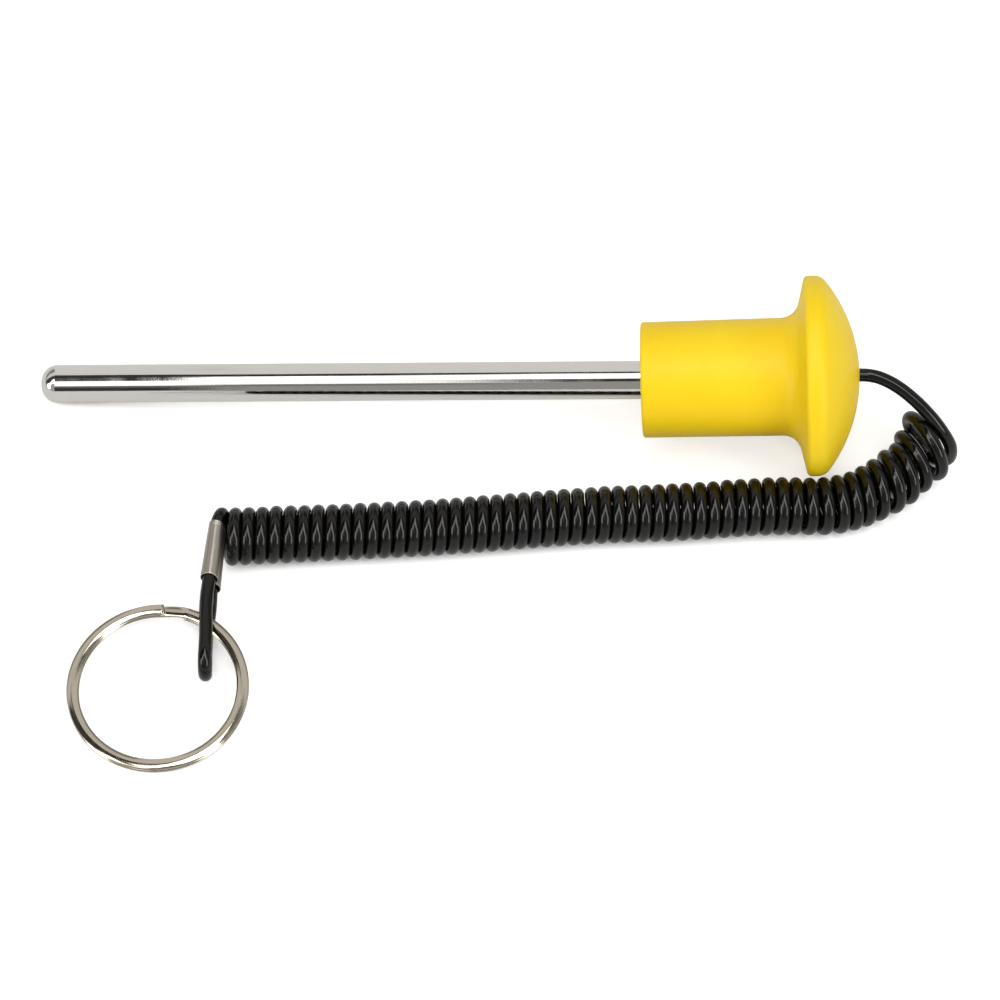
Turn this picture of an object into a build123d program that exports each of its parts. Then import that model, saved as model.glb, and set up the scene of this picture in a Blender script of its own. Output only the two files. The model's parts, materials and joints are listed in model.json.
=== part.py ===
from build123d import *
import os
from math import asin, atan2, cos, degrees, hypot, radians, sin, tan

# Selector pin for a gym weight stack, on a coiled lanyard with a split key ring.
# Millimetres, +Z up. The pin lies on its tip and on the rim of its head, with
# its rod over +X and its head at the +X end. The origin is the middle of the
# rod's and the knob's box, at the height of the surface that they lie on.
# The rod and the knob are first made on the X axis, with x = 0 at the mouth of
# the knob's bore, the rod's tip at -X and the knob at +X.

# ---- rod: a chromed steel bar, turned round at the tip ----
rod_diameter = 9.525
rod_showing = 150.8
tip_radius = 4.0
rod_shoulder_gap = 0.2
rod_seat_diameter = 9.0
rod_seated = 36.0
rod_inner_chamfer = 0.8
grip_groove_places = (11.0, 18.0, 25.0)
grip_groove_width = 1.8
grip_groove_depth = 0.45

# ---- knob: one moulding, a hub that flares into a domed head ----
knob_length = 53.9
knob_lean = 1.2
hub_mouth_diameter = 28.7
hub_neck_diameter = 29.3
hub_mouth_edge = 0.8
neck_reach = 38.3
neck_fillet = 4.6
head_diameter = 49.7
head_underside_slope = 13.0
head_back_edge = 1.2
head_front_edge = 3.8
dome_radius = 38.6
bore_squeeze = 0.03
bore_end_room = 0.5
cord_hole_room = 0.15

# ---- lanyard: one black cord, coiled, with a crimped eye at its far end ----
cord_diameter = 3.2
coil_outer_diameter = 14.3
stop_length = 8.0
stop_wall = 1.5
stop_crimp_depth = 0.5
stop_crimp_width = 2.4
stop_floor_gap = 0.15
ferrule_length = 14.4
ferrule_wall = 0.4
ferrule_squeeze = 0.4
ferrule_strand_gap = 0.3
ferrule_waist = 2.2
ferrule_lean = 17.0
ferrule_tail = 0.5

# ---- split ring: two turns of flattened wire with round edges ----
ring_outer_diameter = 43.8
ring_wire_width = 2.9
ring_wire_thickness = 1.05
ring_wire_flat_edge = 0.09
ring_turn_gap = 0.06
ring_ramp_angle = 11.0
ring_ramp_start = 19.5
ring_end_room = 2.0
ring_ramp_steps = 6
ring_heading = 58.0
ring_lift = 5.0

# ---- cord route: (x, y) from the cord's hole in the dome, z above the surface ----
lead_route = (
    (2.6, -0.3, 26.5),
    (5.6, -0.8, 26.2),
    (9.8, -2.2, 25.2),
    (13.7, -4.0, 23.5),
    (17.1, -5.8, 21.3),
    (20.4, -7.4, 18.6),
    (23.6, -9.1, 15.0),
    (25.4, -10.4, 11.0),
    (24.6, -11.8, 7.2),
    (21.2, -12.8, 5.0),
)
coil_route = (
    (-153.1, -44.8, 7.17),
    (-121.0, -41.5, 7.17),
    (-90.0, -37.2, 7.17),
    (-57.0, -32.7, 7.17),
    (-30.0, -29.5, 7.17),
    (-8.0, -27.2, 7.2),
    (4.2, -24.6, 7.4),
    (11.0, -18.8, 7.9),
    (18.4, -8.6, 9.4),
)
loop_start_route = (
    (-152.4, -39.6, 8.2),
    (-155.0, -39.9, 10.3),
    (-156.1, -42.0, 11.8),
)
ferrule_mouth = (-156.3, -44.2, 11.9)
ferrule_end = (-157.1, -58.4, 9.5)
loop_route = (
    (-157.0, -63.8, 9.5),
    (-156.5, -69.2, 9.8),
    (-156.1, -74.4, 9.7),
    (-156.0, -80.2, 9.8),
    (-155.9, -82.5, 7.4),
    (-155.8, -82.5, 4.0),
    (-155.8, -80.2, 1.65),
    (-156.2, -73.6, 1.7),
    (-156.3, -67.2, 1.65),
    (-156.2, -63.0, 2.4),
)
ring_crossing = (-156.3, -68.7)


def turned(outline):
    """A body of revolution about X, from an outline drawn as (x, radius)."""
    return revolve(make_face(outline), Axis.X)


def bar(start, end, diameter):
    """A plain round bar or hole along X."""
    return Location((start, 0, 0), (0, 90, 0)) * Cylinder(
        diameter / 2, end - start, align=(Align.CENTER, Align.CENTER, Align.MIN)
    )


def make_rod():
    """The bar, with its turned tip, its shoulder, and a seat whose grooves the knob grips."""
    rod = bar(-rod_showing, -rod_shoulder_gap, rod_diameter)
    rod += bar(-rod_shoulder_gap, rod_seated, rod_seat_diameter)
    tip_edge = rod.edges().filter_by(GeomType.CIRCLE).sort_by(Axis.X)[0]
    rod = fillet(tip_edge, tip_radius)
    inner_edge = rod.edges().filter_by(GeomType.CIRCLE).sort_by(Axis.X)[-1]
    rod = chamfer(inner_edge, rod_inner_chamfer)
    for place in grip_groove_places:
        groove_end = place + grip_groove_width
        core = bar(place, groove_end, rod_seat_diameter - 2 * grip_groove_depth)
        rod -= bar(place, groove_end, rod_seat_diameter + 1) - core
    return rod


def knob_outline():
    """Half the knob's section: hub, flare, underside, rim and dome."""
    head_radius = head_diameter / 2
    neck_radius = hub_neck_diameter / 2
    dome_centre = knob_length - dome_radius
    rim_back = neck_reach + (head_radius - neck_radius) * tan(radians(head_underside_slope))
    rim_front = dome_centre + (dome_radius**2 - head_radius**2) ** 0.5
    dome_middle = asin(head_radius / dome_radius) / 2
    mouth = (0, hub_mouth_diameter / 2)
    neck = (neck_reach, neck_radius)
    back_edge = (rim_back, head_radius)
    front_edge = (rim_front, head_radius)
    over_dome = (dome_centre + dome_radius * cos(dome_middle), dome_radius * sin(dome_middle))
    face = make_face(
        Polyline((knob_length, 0), (0, 0), mouth, neck, back_edge, front_edge)
        + ThreePointArc(front_edge, over_dome, (knob_length, 0))
    )
    for place, radius in (
        (mouth, hub_mouth_edge),
        (neck, neck_fillet),
        (back_edge, head_back_edge),
        (front_edge, head_front_edge),
    ):
        corner = face.vertices().sort_by_distance((*place, 0))[0]
        face = fillet(corner, radius)
    return face


def make_knob():
    """The moulding, with the rod's bore and the cord's hole through the dome."""
    body = knob_leaning * revolve(knob_outline(), Axis.X)
    bore_depth = rod_seated + bore_end_room + stop_length + stop_floor_gap
    cord_hole = knob_leaning * bar(bore_depth - 2, knob_length + 1, cord_diameter + 2 * cord_hole_room)
    return body - bar(-1, bore_depth, rod_seat_diameter - 2 * bore_squeeze) - cord_hole


def make_stop():
    """The sleeve crimped on the cord's inner end, which the dome holds back."""
    outer = cord_diameter / 2 + stop_wall
    dent = stop_crimp_width / 2
    middle = (stop_start + stop_end) / 2
    sleeve = turned(
        Polyline(
            (stop_start, 0),
            (stop_start, outer),
            (middle - dent - stop_crimp_depth, outer),
            (middle - dent, outer - stop_crimp_depth),
            (middle + dent, outer - stop_crimp_depth),
            (middle + dent + stop_crimp_depth, outer),
            (stop_end, outer),
            (stop_end, 0),
            close=True,
        )
    )
    return knob_leaning * (sleeve - bar(stop_start - 1, stop_end + 1, cord_diameter))


def bend_radii(points):
    """Radius of the arc at each inner point of a route, from its runs and its turn."""
    radii = []
    for before, here, after in zip(points, points[1:], points[2:]):
        run_in = here - before
        run_out = after - here
        half_turn = radians(run_in.get_angle(run_out)) / 2
        radii.append(0.45 * min(run_in.length, run_out.length) / tan(half_turn))
    return radii


def make_tube(name, points, diameter):
    """A round tube along straight runs that tangent arcs join."""
    radii = bend_radii(points)
    path = FilletPolyline(*points, radius=radii)
    tube = sweep(Plane(origin=path @ 0, z_dir=path % 0) * Circle(diameter / 2), path)
    by_length = path.length * Circle(diameter / 2).area
    print(name, "radii", [round(radius, 1) for radius in radii])
    print(name, "length", round(path.length, 1), "volume ratio", round(tube.volume / by_length, 4))
    return tube


def on_route(point):
    """A point of the cord's route, in the part's frame."""
    return Vector(cord_exit.X + point[0], cord_exit.Y + point[1], point[2])


def make_ferrule():
    """A thin metal tube pressed round both strands, with a waist between them."""
    bore = (cord_diameter - ferrule_squeeze) / 2
    lobe = bore + ferrule_wall
    half_spacing = ferrule_strand_spacing / 2
    outline = Rectangle(ferrule_strand_spacing, ferrule_waist)
    bores = Sketch()
    for side in (-half_spacing, half_spacing):
        outline += Pos(side, 0) * Circle(lobe)
        bores += Pos(side, 0) * Circle(bore)
    between = Pos(half_spacing, 0) * ferrule_plane
    return extrude(between.location * (outline - bores), ferrule_length)


def ring_section(angle, height):
    """The flattened wire's section, at one angle round the ring and one height."""
    outward = Vector(cos(radians(angle)), sin(radians(angle)), 0)
    along = Vector(-outward.Y, outward.X, 0)
    middle = outward * ring_wire_radius + Vector(0, 0, height)
    across = Plane(origin=middle, x_dir=outward, z_dir=along)
    return across * RectangleRounded(ring_wire_width, ring_wire_thickness, ring_wire_edge)


def make_ring():
    """Two flat turns, and the short ramp that takes the wire from one to the other."""
    turn_angle = 360 - ring_ramp_angle - ring_end_room
    level = (ring_wire_thickness + ring_turn_gap) / 2
    upper = revolve(ring_section(ring_ramp_start, level), Axis.Z, -turn_angle)
    lower = revolve(ring_section(ring_ramp_start + ring_ramp_angle, -level), Axis.Z, turn_angle)
    ramp_sections = []
    for step in range(ring_ramp_steps + 1):
        share = step / ring_ramp_steps
        angle = ring_ramp_start + ring_ramp_angle * share
        fallen = share * share * (3 - 2 * share)
        ramp_sections.append(ring_section(angle, level * (1 - 2 * fallen)))
    return upper + loft(ramp_sections) + lower


# ---- the knob sits a little out of line with its rod ----
knob_leaning = Location((0, 0, 0), (0, 0, knob_lean))
stop_end = rod_seated + bore_end_room + stop_length
stop_start = stop_end - stop_length
rod = make_rod()
knob = make_knob()
stop = make_stop()

# ---- the pin's rest: its tip and its head's rim both touch the surface ----
underside_slope = radians(head_underside_slope)
edge_height = head_diameter / 2 - head_back_edge
edge_place = neck_reach + (edge_height - hub_neck_diameter / 2) * tan(underside_slope)
edge_place += head_back_edge / cos(underside_slope)
edge_along = edge_place + rod_showing - tip_radius
edge_across = edge_height - (rod_diameter / 2 - tip_radius)
edge_reach = hypot(edge_along, edge_across)
rest_tilt = degrees(atan2(edge_across, edge_along) + asin((head_back_edge - tip_radius) / edge_reach))
tilted = Location((0, 0, 0), (0, -rest_tilt, 0))
lying = Compound([tilted * rod, tilted * knob]).bounding_box()
resting = Location((-lying.center().X, -lying.center().Y, -lying.min.Z)) * tilted
rod = resting * rod
knob = resting * knob
stop = resting * stop

# ---- the lanyard's frame: its exit from the dome ----
along_knob = resting * knob_leaning
cord_exit = (along_knob * Pos(knob_length, 0, 0)).position
cord_inner_end = (along_knob * Pos(stop_start, 0, 0)).position
lead = make_tube("lead", [cord_exit] + [on_route(point) for point in lead_route], cord_diameter)
lead += along_knob * bar(stop_start, knob_length, cord_diameter)
coil = make_tube("coil", [on_route(point) for point in coil_route], coil_outer_diameter)

# ---- the ferrule's frame: its upper strand, with the lower one beside its foot ----
ferrule_strand_spacing = cord_diameter + ferrule_strand_gap
upper_mouth = on_route(ferrule_mouth)
upper_end = on_route(ferrule_end)
ferrule_run = (upper_end - upper_mouth).normalized()
upper_end = upper_mouth + ferrule_run * ferrule_length
downward = Vector(sin(radians(ferrule_lean)), 0, -cos(radians(ferrule_lean)))
to_lower = (downward - ferrule_run * downward.dot(ferrule_run)).normalized()
ferrule_plane = Plane(origin=upper_mouth, x_dir=to_lower, z_dir=ferrule_run)
lower_mouth = upper_mouth + to_lower * ferrule_strand_spacing
lower_end = upper_end + to_lower * ferrule_strand_spacing
ferrule = make_ferrule()
loop_points = (
    [on_route(point) for point in loop_start_route]
    + [upper_mouth, upper_end]
    + [on_route(point) for point in loop_route]
    + [lower_end, lower_mouth - ferrule_run * ferrule_tail]
)
loop = make_tube("loop", loop_points, cord_diameter)

# ---- the ring lies with its far side on the surface, lifted where the loop holds it ----
ring_wire_radius = (ring_outer_diameter - ring_wire_width) / 2
ring_wire_edge = (ring_wire_thickness - ring_wire_flat_edge) / 2
edge_drop = (ring_wire_thickness * 2 + ring_turn_gap) / 2 - ring_wire_edge
far_reach = 2 * ring_wire_radius + ring_wire_width / 2 - ring_wire_edge
edge_bearing = atan2(edge_drop, far_reach)
ring_tilt = degrees(asin((ring_lift - ring_wire_edge) / hypot(far_reach, edge_drop)) - edge_bearing)
hinge = on_route((*ring_crossing, ring_lift))
ring_turned = Location((0, 0, 0), (0, 0, ring_heading)) * Location((0, 0, 0), (0, -ring_tilt, 0))
ring_place = Location(hinge) * ring_turned * Pos(-ring_wire_radius, 0, 0)
ring = ring_place * make_ring()

parts = {
    "pin_rod": rod,
    "knob": knob,
    "cord_stop": stop,
    "lanyard_lead": lead,
    "lanyard_coil": coil,
    "ferrule": ferrule,
    "lanyard_loop": loop,
    "key_ring": ring,
}
os.makedirs("parts", exist_ok=True)
for name, shape in parts.items():
    export_step(shape, f"parts/{name}.step")

rod_axis = (resting * Pos(1, 0, 0)).position - resting.position
tip = (resting * Pos(-rod_showing, 0, 0)).position
ring_axis = (-sin(radians(ring_heading)), cos(radians(ring_heading)), 0)
print("rest tilt", round(rest_tilt, 3), "ring tilt", round(ring_tilt, 3))
print("rod axis", tuple(rod_axis), "tip", tuple(tip), "bore mouth", tuple(resting.position))
print("cord exit", tuple(cord_exit), "inner end", tuple(cord_inner_end))
print("ring hinge", tuple(hinge), ring_axis, "ring centre", tuple(ring_place.position))
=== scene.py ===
"""Weight stack pin: a plated steel rod in a yellow knob, on a coiled black cord that ends in a key ring."""
import json
from math import cos, pi, radians, sin

import bmesh
import bpy
import numpy as np
from mathutils import Matrix, Quaternion, Vector


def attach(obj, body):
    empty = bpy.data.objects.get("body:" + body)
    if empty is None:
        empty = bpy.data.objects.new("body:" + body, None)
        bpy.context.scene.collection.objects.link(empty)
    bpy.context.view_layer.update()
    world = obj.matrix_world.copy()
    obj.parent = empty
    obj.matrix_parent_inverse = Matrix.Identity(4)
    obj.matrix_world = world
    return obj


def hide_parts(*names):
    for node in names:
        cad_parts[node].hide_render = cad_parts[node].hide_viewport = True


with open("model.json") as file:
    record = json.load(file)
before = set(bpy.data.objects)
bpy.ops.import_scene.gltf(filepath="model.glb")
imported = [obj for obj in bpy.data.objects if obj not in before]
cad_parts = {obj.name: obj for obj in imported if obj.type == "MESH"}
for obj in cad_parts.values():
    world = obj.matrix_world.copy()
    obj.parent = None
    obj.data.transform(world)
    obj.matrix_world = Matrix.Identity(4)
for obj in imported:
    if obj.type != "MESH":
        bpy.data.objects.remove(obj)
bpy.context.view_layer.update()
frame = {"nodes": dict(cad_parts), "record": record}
nodes = frame["nodes"]

# ---- rod -------------------------------------------------------------------------------------
# A round steel bar, turned to a blunt tip, ground and bright plated. It is pressed into the
# knob's bore, and its free end is pushed through the weights.

rod_tilt = radians(6.08)
drawn_line_size = 0.0004
drawn_line_depth = 0.0000005
grain_size = 0.0004
grain_depth = 0.0000024
cloud_size = 0.006


def shader_node(tree, kind, sockets=None, **settings):
    """A node of that kind, with its settings made and each named socket filled or linked."""
    node = tree.nodes.new(kind)
    for name, value in settings.items():
        setattr(node, name, value)
    for name, value in (sockets or {}).items():
        if isinstance(value, bpy.types.NodeSocket):
            tree.links.new(value, node.inputs[name])
        else:
            node.inputs[name].default_value = value
    return node


def new_finish(name, **surface):
    """A material with one Principled surface. Gives the material, its tree and the surface."""
    material = bpy.data.materials.new(name)
    material.use_nodes = True
    tree = material.node_tree
    principled = tree.nodes["Principled BSDF"]
    for socket, value in surface.items():
        principled.inputs[socket.replace("_", " ")].default_value = value
    return material, tree, principled


def object_place(tree, turn=(0, 0, 0), stretch=(1, 1, 1)):
    """The object's own coordinates, turned to the piece and stretched along it."""
    coordinates = shader_node(tree, "ShaderNodeTexCoord")
    turned = shader_node(
        tree, "ShaderNodeMapping",
        {"Vector": coordinates.outputs["Object"], "Rotation": turn, "Scale": stretch},
    )
    return turned.outputs["Vector"]


def noise(tree, place, size, detail=2.0):
    """Smooth noise whose cells are about that size, in metres."""
    node = shader_node(tree, "ShaderNodeTexNoise", {"Vector": place, "Scale": 1 / size, "Detail": detail})
    return node.outputs["Fac"]


def spread(tree, value, low, high, start=0.35, end=0.65):
    """A noise value between start and end, spread over low to high."""
    node = shader_node(
        tree, "ShaderNodeMapRange",
        {"Value": value, "From Min": start, "From Max": end, "To Min": low, "To Max": high},
    )
    return node.outputs["Result"]


def roughen(tree, surface, height, depth, under=None):
    """Tiny relief of that depth, in metres, on top of any relief under it."""
    sockets = {"Height": height, "Distance": depth}
    if under:
        sockets["Normal"] = under.outputs["Normal"]
    bump = shader_node(tree, "ShaderNodeBump", sockets)
    tree.links.new(bump.outputs["Normal"], surface.inputs["Normal"])
    return bump


def give_finish(piece, material):
    """Puts one material on every face of a piece."""
    piece.data.materials.clear()
    piece.data.materials.append(material)


plated_steel, tree, surface = new_finish(
    "plated_steel", Base_Color=(0.76, 0.745, 0.72, 1), Metallic=1.0, Roughness=0.1
)
along_rod = object_place(tree, turn=(0, rod_tilt, 0), stretch=(0.02, 1, 1))
drawn_lines = noise(tree, along_rod, drawn_line_size)
all_ways = object_place(tree)
grain = noise(tree, all_ways, grain_size)
clouds = noise(tree, all_ways, cloud_size)
tree.links.new(spread(tree, clouds, 0.03, 0.08), surface.inputs["Roughness"])
fine_lines = roughen(tree, surface, drawn_lines, drawn_line_depth)
roughen(tree, surface, grain, grain_depth, under=fine_lines)
give_finish(nodes["pin_rod"], plated_steel)

# ---- knob ------------------------------------------------------------------------------------
# A mushroom-shaped handle moulded from yellow plastic, pressed on the rod. The cord leaves
# through a hole in the middle of its dome.

wave_size, wave_depth = 0.012, 0.00006
mould_grain_size, mould_grain_depth = 0.0005, 0.000004
tint_size, sheen_size = 0.02, 0.003
orange_tint, lemon_tint = (0.88, 0.6, 0.006, 1), (0.88, 0.635, 0.01, 1)

yellow_plastic, tree, surface = new_finish(
    "yellow_plastic", Base_Color=(0.88, 0.62, 0.008, 1), Roughness=0.45, IOR=1.5,
    Specular_IOR_Level=0.28, Subsurface_Weight=0.12, Subsurface_Scale=0.004,
)
surface.inputs["Subsurface Radius"].default_value = (1.0, 0.6, 0.1)
place = object_place(tree)
moulded_waves = noise(tree, place, wave_size)
fine_grain = noise(tree, place, mould_grain_size)
tint = shader_node(
    tree, "ShaderNodeMix",
    {0: spread(tree, noise(tree, place, tint_size), 0, 1), 6: orange_tint, 7: lemon_tint},
    data_type="RGBA",
)
tree.links.new(tint.outputs[2], surface.inputs["Base Color"])
tree.links.new(spread(tree, noise(tree, place, sheen_size), 0.38, 0.47), surface.inputs["Roughness"])
soft_waves = roughen(tree, surface, moulded_waves, wave_depth)
roughen(tree, surface, fine_grain, mould_grain_depth, under=soft_waves)
give_finish(nodes["knob"], yellow_plastic)

# ---- cord stop -------------------------------------------------------------------------------
# A short steel sleeve crimped on the cord's inner end. It sits in the knob's bore behind the
# dome, where nothing shows, and keeps the cord from pulling out.

stain_size = 0.0008
scratch_size, scratch_depth = 0.0003, 0.000004

crimp_metal, tree, surface = new_finish(
    "crimp_metal", Base_Color=(0.56, 0.54, 0.51, 1), Metallic=1.0, Roughness=0.3
)
place = object_place(tree)
tree.links.new(spread(tree, noise(tree, place, stain_size), 0.24, 0.38), surface.inputs["Roughness"])
roughen(tree, surface, noise(tree, place, scratch_size), scratch_depth)
give_finish(nodes["cord_stop"], crimp_metal)

# ---- cord ------------------------------------------------------------------------------------
# One length of black plastic cord: a short lead out of the dome, some fifty close turns that
# spring back when pulled, and an end that loops through the ring and back into the ferrule.

cord_diameter = 0.0033
cord_radius = cord_diameter / 2 * 1000
skin_wave_size, skin_wave_depth = 0.0018, 0.000006
skin_grain_size, skin_grain_depth = 0.0003, 0.000001
gloss_size = 0.004

# the cord's inner end and where it leaves the dome, in millimetres like cord_radius
cord_start = Vector((84.6, -0.118, 24.196))
cord_exit = Vector((101.707, 0.242, 26.019))

# places on the cord in millimetres: (x, y) from the hole in the dome, z above the table
lead_route = (
    (2.6, -0.3, 26.5),
    (5.6, -0.8, 26.2),
    (9.5, -2.2, 25.1),
    (13.1, -4.0, 23.4),
    (16.4, -5.8, 21.2),
    (19.5, -7.4, 18.4),
    (22.5, -9.1, 14.8),
    (24.7, -9.9, 10.6),
)
coil_route = (
    (22.3, -4.0, 0),
    (15.6, -12.3, 0),
    (13.3, -16.8, 0),
    (-1.8, -27.3, 0),
    (-19.6, -27.6, 0),
    (-43.4, -31.3, 0),
    (-63.2, -33.0, 0),
    (-96.4, -38.2, 0),
    (-113.3, -40.5, 0),
    (-156.9, -45.4, 0),
)
loop_route = (
    (-155.0, -39.4, 8.6),
    (-155.3, -41.2, 11.7),
    (-156.2, -44.4, 12.0),
    (-156.5, -51.4, 10.8),
    (-156.9, -58.4, 9.5),
    (-157.2, -63.8, 9.5),
    (-156.9, -69.2, 9.8),
    (-156.4, -74.4, 9.7),
    (-156.3, -80.2, 9.8),
    (-156.2, -82.5, 7.4),
    (-156.1, -82.5, 4.0),
    (-156.3, -80.2, 1.7),
    (-156.8, -73.6, 1.75),
    (-156.8, -67.2, 1.7),
    (-156.5, -63.0, 2.3),
    (-156.5, -58.9, 5.8),
    (-156.2, -51.4, 7.1),
    (-156.0, -44.2, 8.3),
)
# turns counted from the knob: turn, place along the coil's middle line, radius, then heading and
# lean in degrees
turn_sizes = np.array((
    (1.26, 3.4, 6.8, 65, -2.5),
    (1.5, 4.1, 7.8, 43, 8.5),
    (2, 6.3, 7.75, 36, 11),
    (2.5, 9.0, 6.7, 39, 9.5),
    (3, 11.4, 6.2, 36, 8),
    (4, 15.6, 5.9, 28, 5),
    (5, 20.0, 6.3, 25.5, 4),
    (6, 24.2, 5.8, 21.5, 2),
    (7, 27.9, 5.8, 18, 2.5),
    (8, 31.2, 5.6, 17.5, 3),
    (9, 34.8, 5.7, 18, 3),
    (12, 45.9, 5.6, 10, 1),
    (20, 73.5, 5.55, 9, 0.5),
    (30, 107.2, 5.45, 8, 0),
    (40, 140.6, 5.35, 7, 0),
    (52, 181.5, 5.5, 8, 0.4),
    (54, 187.9, 5.55, 8, 0.5),
))
turn_count = 54
points_per_turn = 16
first_turn_start = 0.6
last_turn_end = 52.9
turn_front = 0.34
place_unevenness = 0.04
radius_unevenness = 0.03
table_gap = 0.05


def smooth_cord(name, route, diameter=0.0, rings=1):
    """A curve object with one smooth NURBS spline of order 3, whose control points are the route's."""
    data = bpy.data.curves.new(name, "CURVE")
    data.dimensions = "3D"
    spline = data.splines.new("NURBS")
    spline.points.add(len(route) - 1)
    spline.points.foreach_set("co", np.column_stack((route, np.ones(len(route)))).ravel())
    spline.order_u = 3
    spline.use_endpoint_u = True
    data.resolution_u = rings
    data.bevel_depth = diameter / 2
    piece = bpy.data.objects.new(name, data)
    bpy.context.scene.collection.objects.link(piece)
    return piece


def line_through(route):
    """The points of the smooth line that a route's NURBS spline makes, in the route's units."""
    guide = smooth_cord("guide", route, rings=24)
    mesh = bpy.data.meshes.new_from_object(guide)
    points = np.empty(len(mesh.vertices) * 3)
    mesh.vertices.foreach_get("co", points)
    bpy.data.objects.remove(guide)
    bpy.data.meshes.remove(mesh)
    return points.reshape(-1, 3)


def coil_turns():
    """The turns as control points: each lies on the table, centred over the coil's middle line.

    A point is centre + radius * (cos(angle) * north + sin(angle) * up), where the angle grows by
    a full turn while the centre moves one pitch. North lies level across the turn's heading, and
    up leans back from the knob.
    """
    line = line_through(coil_route)
    steps = np.linalg.norm(np.diff(line, axis=0), axis=1)
    travelled = np.concatenate(((0,), np.cumsum(steps)))
    count = round((last_turn_end - first_turn_start) * points_per_turn)
    turns = first_turn_start + np.arange(count + 1) / points_per_turn
    fronts = turn_sizes[:, 0] - 1 + turn_front
    place, radius, heading, lean = (np.interp(turns, fronts, sizes) for sizes in turn_sizes.T[1:])
    chance = np.random.default_rng(7)
    every_turn = np.arange(turn_count)
    place = place + np.interp(turns, every_turn, chance.normal(0, place_unevenness, turn_count))
    radius = radius + np.interp(turns, every_turn, chance.normal(0, radius_unevenness, turn_count))
    heading, lean, angle = np.radians(heading), np.radians(lean), 2 * pi * turns
    level = np.zeros(len(turns))
    north = np.column_stack((-np.sin(heading), np.cos(heading), level))
    up = np.column_stack((-np.sin(lean) * np.cos(heading), -np.sin(lean) * np.sin(heading), np.cos(lean)))
    middle = [np.interp(place, travelled, line[:, axis]) for axis in (0, 1)]
    height = radius * np.cos(lean) + cord_radius + table_gap
    centre = np.column_stack((*middle, height))
    # a spline of order 3 cuts inside its control points, to this share of their radius
    inside = 0.5 * (1 + cos(pi / points_per_turn) ** 2)
    spoke = np.cos(angle)[:, None] * north + np.sin(angle)[:, None] * up
    return centre + spoke * radius[:, None] / inside


hole = np.array((cord_exit.x, cord_exit.y, 0))
cord_route = np.vstack((
    cord_start,
    (cord_start + cord_exit) / 2,
    cord_exit,
    hole + np.array(lead_route),
    hole + coil_turns(),
    hole + np.array(loop_route),
)) / 1000
cord = smooth_cord("cord", cord_route, cord_diameter, rings=4)
cord.data.bevel_resolution = 8
cord.data.use_fill_caps = True

black_cord, tree, surface = new_finish(
    "black_cord", Base_Color=(0.0032, 0.003, 0.0028, 1), Roughness=0.07, IOR=1.42
)
place = object_place(tree)
tree.links.new(spread(tree, noise(tree, place, gloss_size), 0.05, 0.09), surface.inputs["Roughness"])
skin_waves = roughen(tree, surface, noise(tree, place, skin_wave_size), skin_wave_depth)
roughen(tree, surface, noise(tree, place, skin_grain_size), skin_grain_depth, under=skin_waves)
give_finish(cord, black_cord)

bodies = frame["record"]["behaviour"]["bodies"]
cord_body = next(body for body, members in bodies.items() if "lanyard_coil" in members)
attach(cord, cord_body)
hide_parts("lanyard_lead", "lanyard_coil", "lanyard_loop")

# ---- ferrule ---------------------------------------------------------------------------------
# A short plated tube squeezed flat between the cord's two strands, so that it grips them in
# two round lobes side by side and closes the loop.

ferrule_length = 14.4
ferrule_lean = radians(9)
strand_offset = 1.85
end_slant = 0.15
lobe_radius = (1.75, 2.2)
ferrule_wall = 0.3
waist_half = 1.45
lip_lines = (0.45, 0.85, 1.25)
lip_line_depth, lip_line_half = 0.06, 0.09
lip_end, lines_end, plain_start, end_margin = 0.35, 1.6, 2, 0.5
lobe_points, lip_points, line_points, plain_points = 96, 7, 26, 14
ferrule_mouth = Vector((-156.2, -44.4, 12.0)) + Vector(hole)
ferrule_end = Vector((-156.9, -58.4, 9.6)) + Vector(hole)
ferrule_run = (ferrule_end - ferrule_mouth).normalized()
to_lower = Vector((sin(ferrule_lean), -end_slant, -cos(ferrule_lean))).normalized()
ferrule_side = ferrule_run.cross(to_lower).normalized()
ferrule_origin = ferrule_mouth + to_lower * strand_offset


def lobed_radius(angle, lobe):
    """Distance from the middle to a figure of eight: two circles side by side, pinched to a waist.

    The circle's far side is h|cos a| + sqrt(R^2 - h^2 sin^2 a). The waist between them is a
    rectangle, whose side is at w / |sin a| and whose end is at h / |cos a|. The greater of the
    two outlines is taken, rounded where they meet.
    """
    across, ahead = np.abs(np.sin(angle)), np.abs(np.cos(angle))
    circle = strand_offset * ahead + np.sqrt(np.maximum(lobe**2 - (strand_offset * across) ** 2, 0))
    flat = np.minimum(waist_half / np.maximum(across, 0.001), strand_offset / np.maximum(ahead, 0.001))
    sharpness = 12.0
    return (circle**sharpness + flat**sharpness) ** (1 / sharpness)


def surface_mesh(name, grid, closed_rows, closed_columns):
    """A mesh of four-sided faces over a grid of points, rows by columns, closed where asked.

    Points that fall together are welded, and the faces are turned to look outwards.
    """
    rows, columns = grid.shape[:2]
    number = np.arange(rows * columns).reshape(rows, columns)
    if closed_rows:
        number = np.vstack((number, number[:1]))
    if closed_columns:
        number = np.hstack((number, number[:, :1]))
    faces = np.stack((number[:-1, :-1], number[1:, :-1], number[1:, 1:], number[:-1, 1:]), axis=-1)
    mesh = bpy.data.meshes.new(name)
    mesh.from_pydata(grid.reshape(-1, 3).tolist(), [], faces.reshape(-1, 4).tolist())
    shape = bmesh.new()
    shape.from_mesh(mesh)
    bmesh.ops.remove_doubles(shape, verts=shape.verts, dist=0.000001)
    bmesh.ops.recalc_face_normals(shape, faces=shape.faces)
    shape.to_mesh(mesh)
    shape.free()
    mesh.polygons.foreach_set("use_smooth", np.ones(len(mesh.polygons), bool))
    piece = bpy.data.objects.new(name, mesh)
    bpy.context.scene.collection.objects.link(piece)
    return piece


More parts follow.
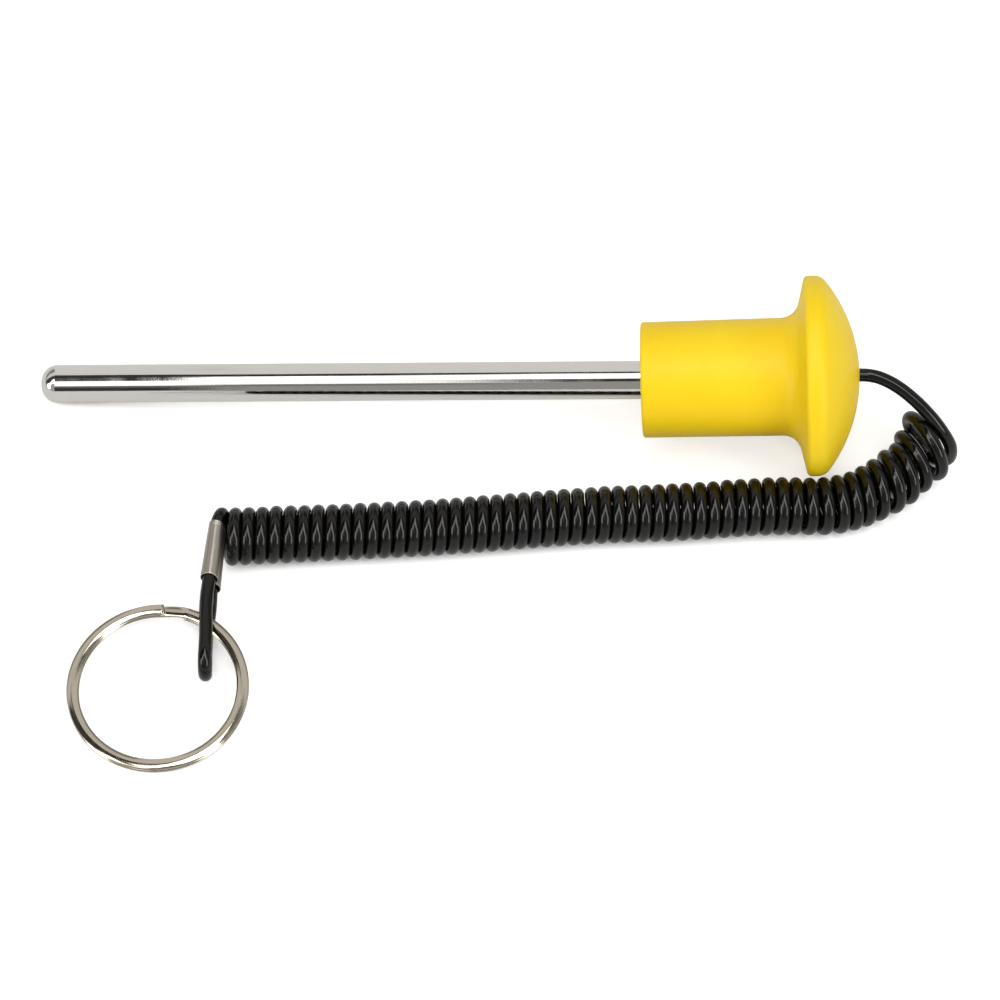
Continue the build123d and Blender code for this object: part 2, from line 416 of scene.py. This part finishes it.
def ferrule_wall_profile():
    """The wall's section as (depth under the outer face, place along): out, round a lip and back."""
    half = ferrule_wall / 2
    last = ferrule_length - end_margin
    lip = np.linspace(0, pi, lip_points)
    top_lip = np.column_stack((half + half * np.cos(lip), half - half * np.sin(lip)))
    end_lip = np.column_stack((half - half * np.cos(lip), ferrule_length - half + half * np.sin(lip)))
    lined = np.linspace(lip_end, lines_end, line_points)
    along = np.concatenate((lined, np.linspace(plain_start, last, plain_points)))
    grooves = sum(lip_line_depth * np.exp(-((along - line) / lip_line_half) ** 2) for line in lip_lines)
    outer = np.column_stack((grooves, along))
    inner = np.column_stack((np.full(plain_points, ferrule_wall), np.linspace(last, lip_end, plain_points)))
    return np.vstack((top_lip, outer, end_lip, inner))


profile = ferrule_wall_profile()
angles = np.linspace(0, 2 * pi, lobe_points, endpoint=False)
depth, along = profile[:, :1], profile[:, 1:]
lobe = np.interp(along, (0, ferrule_length), lobe_radius)
reach = lobed_radius(angles[None, :], lobe) - depth
grid = (
    np.array(ferrule_origin)
    + reach[..., None] * np.cos(angles)[None, :, None] * np.array(to_lower)
    + reach[..., None] * np.sin(angles)[None, :, None] * np.array(ferrule_side)
    + along[..., None] * np.array(ferrule_run)
) / 1000
ferrule = surface_mesh("crimped_ferrule", grid, closed_rows=True, closed_columns=True)

brush_line_size, brush_line_depth = 0.0004, 0.0000001
handling_size = 0.003
ferrule_metal, tree, surface = new_finish(
    "ferrule_metal", Base_Color=(0.4, 0.37, 0.33, 1), Metallic=0.88, Roughness=0.32
)
brushed = object_place(tree, stretch=(1, 0.04, 1))
brush_lines = noise(tree, brushed, brush_line_size)
handling = noise(tree, object_place(tree), handling_size)
tree.links.new(spread(tree, handling, 0.29, 0.35), surface.inputs["Roughness"])
roughen(tree, surface, brush_lines, brush_line_depth)
give_finish(ferrule, ferrule_metal)

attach(ferrule, cord_body)
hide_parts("ferrule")

# ---- key ring --------------------------------------------------------------------------------
# A split ring wound from two turns of flattened, nickel-plated spring wire. It hangs in the
# cord's loop and clips to the machine's frame.

ring_radius = 20.45
wire_width = 2.9
wire_height = 1.12
turn_level = 0.57
ring_heading = radians(58)
ring_tilt = radians(5.37)
hinge = Vector((-156.5, -68.57, 5.0)) + Vector(hole)
crossing = (radians(15), radians(35))
first_end, last_end = radians(-327.5), radians(377.5)
end_taper = (0, 0.6, 0.92)
wire_steps, section_points = 480, 40
polish_size = 0.002
nickel_grain_size, nickel_grain_depth = 0.0003, 0.0000003


def ring_wire():
    """The wire as a grid of points: a rounded section carried along two turns that cross over once.

    The path is radius * (cos(angle), sin(angle)) at a height that eases from one level to the
    other, u^2 (3 - 2u), in the crossing. The section is an ellipse that shrinks to a point at
    each cut end, which closes it.
    """
    ends = len(end_taper)
    angle = np.linspace(first_end, last_end, wire_steps)
    angle = np.concatenate((angle[:1].repeat(ends), angle, angle[-1:].repeat(ends)))
    size = np.ones(len(angle))
    size[:ends] = end_taper
    size[-ends:] = end_taper[::-1]
    share = np.clip((angle - crossing[0]) / (crossing[1] - crossing[0]), 0, 1)
    level = turn_level * (1 - 2 * share**2 * (3 - 2 * share))
    around = np.linspace(0, 2 * pi, section_points, endpoint=False)
    across = np.cos(around) * wire_width / 2
    up = np.sin(around) * wire_height / 2
    radius = ring_radius + size[:, None] * across
    height = level[:, None] + size[:, None] * up
    return np.stack((radius * np.cos(angle)[:, None], radius * np.sin(angle)[:, None], height), axis=-1)


placing = (
    Matrix.Translation(hinge) @ Matrix.Rotation(ring_heading, 4, "Z")
    @ Matrix.Rotation(-ring_tilt, 4, "Y") @ Matrix.Translation((-ring_radius, 0, 0))
)
wire = ring_wire()
turned = wire @ np.array(placing.to_3x3()).T + np.array(placing.translation)
ring = surface_mesh("split_ring", turned / 1000, closed_rows=False, closed_columns=True)

nickel_wire, tree, surface = new_finish(
    "nickel_wire", Base_Color=(0.58, 0.525, 0.435, 1), Metallic=1.0, Roughness=0.1
)
place = object_place(tree)
tree.links.new(spread(tree, noise(tree, place, polish_size), 0.07, 0.13), surface.inputs["Roughness"])
roughen(tree, surface, noise(tree, place, nickel_grain_size), nickel_grain_depth)
give_finish(ring, nickel_wire)

ring_body = next(body for body, members in bodies.items() if "key_ring" in members)
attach(ring, ring_body)
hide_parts("key_ring")

# ---- table, light and camera -----------------------------------------------------------------
# A plain white table that keeps a faint shadow, a soft studio that surrounds it, and a camera
# that looks down on the object as it lies.

table_reach = 3.0
table_shade = 0.62
table_glow = 0.62
glow_in_metal = 0.05
# painted shade in gaps: how far the table looks for cover, and the share of open sky at which its glow is
# gone and fully back
gap_size = 0.012
gap_closed, gap_open = 0.2, 0.36

table_mesh = bpy.data.meshes.new("table")
corners = [(-1, -1), (1, -1), (1, 1), (-1, 1)]
places = [(across * table_reach, back * table_reach, 0) for across, back in corners]
table_mesh.from_pydata(places, [], [(0, 1, 2, 3)])
table = bpy.data.objects.new("table", table_mesh)
bpy.context.scene.collection.objects.link(table)

white_table, tree, surface = new_finish(
    "white_table", Base_Color=(table_shade, table_shade, table_shade, 1), Roughness=0.9
)
surface.inputs["Specular IOR Level"].default_value = 0.0
# painted shade: the glow is cut by ambient occlusion in gaps, so that the table doesn't shine through
# between the cord's turns
path = shader_node(tree, "ShaderNodeLightPath")
in_metal = shader_node(
    tree, "ShaderNodeMath", {0: path.outputs["Is Glossy Ray"], 1: glow_in_metal}, operation="MULTIPLY"
)
seen_glow = shader_node(
    tree, "ShaderNodeMath",
    {0: path.outputs["Is Camera Ray"], 1: table_glow, 2: in_metal.outputs[0]}, operation="MULTIPLY_ADD",
)
openness = shader_node(tree, "ShaderNodeAmbientOcclusion", {"Distance": gap_size}, samples=8)
covered = shader_node(
    tree, "ShaderNodeMapRange",
    {"Value": openness.outputs["AO"], "From Min": gap_closed, "From Max": gap_open},
    interpolation_type="SMOOTHSTEP",
)
glow_with_painted_shade = shader_node(
    tree, "ShaderNodeMath", {0: seen_glow.outputs[0], 1: covered.outputs["Result"]}, operation="MULTIPLY"
)
surface.inputs["Emission Color"].default_value = (1, 1, 1, 1)
tree.links.new(glow_with_painted_shade.outputs[0], surface.inputs["Emission Strength"])
give_finish(table, white_table)

studio = bpy.data.worlds.new("studio")
studio.use_nodes = True
bpy.context.scene.world = studio
tree = studio.node_tree
background = tree.nodes["Background"]


def maths(tree, operation, first, second):
    """The result of one Math node on two values or sockets."""
    return shader_node(tree, "ShaderNodeMath", {0: first, 1: second}, operation=operation).outputs[0]


def ease(tree, value, start, end):
    """0 at start, 1 at end and a smooth step between. Start may be the greater of the two."""
    node = shader_node(
        tree, "ShaderNodeMapRange",
        {"Value": value, "From Min": start, "From Max": end}, interpolation_type="SMOOTHSTEP",
    )
    return node.outputs["Result"]


def ramp_of(tree, value, start, end):
    """A straight line through two (value, result) pairs, level beyond them."""
    node = shader_node(
        tree, "ShaderNodeMapRange",
        {"Value": value, "From Min": start[0], "From Max": end[0], "To Min": start[1], "To Max": end[1]},
    )
    return node.outputs["Result"]


direction = shader_node(tree, "ShaderNodeTexCoord").outputs["Generated"]
parts = shader_node(tree, "ShaderNodeSeparateXYZ", {0: direction})
x, y, z = parts.outputs
rise = maths(tree, "ARCTAN2", z, maths(tree, "MULTIPLY", y, -1))
rise = maths(tree, "MULTIPLY", rise, 180 / pi)

wall, front, soft_box, unlit = 0.77, 0.34, 1.5, 0.04
warm_white = (1, 0.985, 0.955)
lamp_light = (4.6, 4.55, 4.45, 1)
# brightness by rise, which goes from 0 in front, over 90 overhead, to 180 behind: as the rod's
# middle, its root by the knob and its tip see it, then from the far left and right
over_rod = (
    (-10, wall), (-5, front), (28, front), (37, 0.2), (44, 0.22), (46, soft_box), (92, soft_box),
    (94, unlit), (107, unlit), (108.5, wall), (180, wall),
)
over_root = (
    (-10, wall), (-5, front), (46, front), (50, unlit), (64, unlit), (67, soft_box),
    (97, soft_box), (99, unlit), (108, unlit), (109, wall), (180, wall),
)
over_tip = (
    (-10, wall), (7, wall), (9, unlit), (27, unlit), (31, 0.16), (39, 0.16), (41, soft_box),
    (69, soft_box), (71, unlit), (109, unlit), (111, wall), (180, wall),
)
far_front = ((-10, 0.7), (6, 0.6), (12, 0.4), (50, 0.4))
far_back = ((110, wall), (128, 0.7), (140, 0.25), (152, 0.2), (166, 0.6), (180, 0.6))
at_left = (*far_front, (64, 0.06), (105, 0.06), *far_back)
at_right = (*far_front, (64, 0.3), (100, 0.3), *far_back)
rise_start, rise_end = -10, 180
rise_share = maths(tree, "DIVIDE", maths(tree, "SUBTRACT", rise, rise_start), rise_end - rise_start)


def band_light(bands):
    """Brightness by rise, from pairs of rise in degrees and level, straight between them."""
    ramp = shader_node(tree, "ShaderNodeValToRGB", {"Fac": rise_share})
    stops = ramp.color_ramp.elements
    while len(stops) < len(bands):
        stops.new(0.5)
    for stop, (angle, level) in zip(stops, bands):
        stop.position = (angle - rise_start) / (rise_end - rise_start)
        stop.color = (*(level * tone for tone in warm_white), 1)
    return ramp.outputs["Color"]


def blend_light(share, first, second):
    """One light where share is 0, the other where it is 1."""
    mixed = shader_node(tree, "ShaderNodeMix", {0: share, 6: first, 7: second}, data_type="RGBA")
    return mixed.outputs[2]


along_x = maths(tree, "MULTIPLY", x, cos(rod_tilt))
along_z = maths(tree, "MULTIPLY", z, sin(rod_tilt))
along = maths(tree, "ADD", along_x, along_z)
# where along the rod's line each stretch of light begins and ends, and where right takes over from left
tip_begins, tip_ends, right_begins = (-0.3, -0.26), (-0.146, -0.158), (0.1, 0.4)
rod_begins, root_begins, knob_ends = (-0.158, -0.146), (-0.105, -0.06), (0.0, -0.03)
before_knob = ease(tree, along, *knob_ends)
tip_side = maths(tree, "MULTIPLY", ease(tree, along, *tip_begins), ease(tree, along, *tip_ends))
rod_side = maths(tree, "MULTIPLY", ease(tree, along, *rod_begins), before_knob)
root_side = maths(tree, "MULTIPLY", ease(tree, along, *root_begins), before_knob)
light = blend_light(ease(tree, x, *right_begins), band_light(at_left), band_light(at_right))
light = blend_light(tip_side, light, band_light(over_tip))
light = blend_light(rod_side, light, band_light(over_rod))
light = blend_light(root_side, light, band_light(over_root))
# two long lamps run up the sides and meet overhead, with a dark wedge between them in front; an
# edge is (rise, distance off the middle) at its top and at its foot
lamp_middle, lamp_softness = 0.04, 0.03
lamp_foot, lamp_top = (10, 16), (106, 102)
tip_shade_rise, rod_shade_rise = (62, 67), (84, 89)
off_middle = maths(tree, "ABSOLUTE", maths(tree, "ADD", x, lamp_middle), 0)
outer_edge = ramp_of(tree, rise, (104, 0.06), (48, 0.86))
inner_edge = ramp_of(tree, rise, (81, -0.1), (48, 0.66))
past_outer = maths(tree, "SUBTRACT", off_middle, outer_edge)
lamp = ease(tree, past_outer, lamp_softness, 0.0)
past_inner = maths(tree, "SUBTRACT", off_middle, inner_edge)
lamp = maths(tree, "MULTIPLY", lamp, ease(tree, past_inner, -lamp_softness, 0.0))
lamp = maths(tree, "MULTIPLY", lamp, ease(tree, rise, *lamp_foot))
lamp = maths(tree, "MULTIPLY", lamp, ease(tree, rise, *lamp_top))
tip_shade = maths(tree, "MULTIPLY", tip_side, ease(tree, rise, *tip_shade_rise))
rod_shade = maths(tree, "MULTIPLY", rod_side, ease(tree, rise, *rod_shade_rise))
lamp = maths(tree, "MULTIPLY", lamp, maths(tree, "SUBTRACT", 1, tip_shade))
lamp = maths(tree, "MULTIPLY", lamp, maths(tree, "SUBTRACT", 1, rod_shade))
light = blend_light(lamp, light, lamp_light)
path = shader_node(tree, "ShaderNodeLightPath")
shown = shader_node(
    tree, "ShaderNodeMix",
    {0: path.outputs["Is Camera Ray"], 6: light, 7: (1, 1, 1, 1)}, data_type="RGBA",
)
tree.links.new(shown.outputs[2], background.inputs["Color"])

camera_place = Vector((0.0026, -0.5354, 0.8110))
camera_target = Vector((0.01455, -0.02546, 0))
camera_roll = radians(4.14)
camera_data = bpy.data.cameras.new("camera")
camera_data.sensor_width = 36
camera_data.lens = 138.31
camera = bpy.data.objects.new("camera", camera_data)
camera.rotation_mode = "QUATERNION"
camera.location = camera_place
looking = (camera_target - camera_place).to_track_quat("-Z", "Y")
camera.rotation_quaternion = looking @ Quaternion((0, 0, 1), camera_roll)
bpy.context.scene.collection.objects.link(camera)
bpy.context.scene.camera = camera

bpy.context.scene.view_settings.view_transform = "Standard"
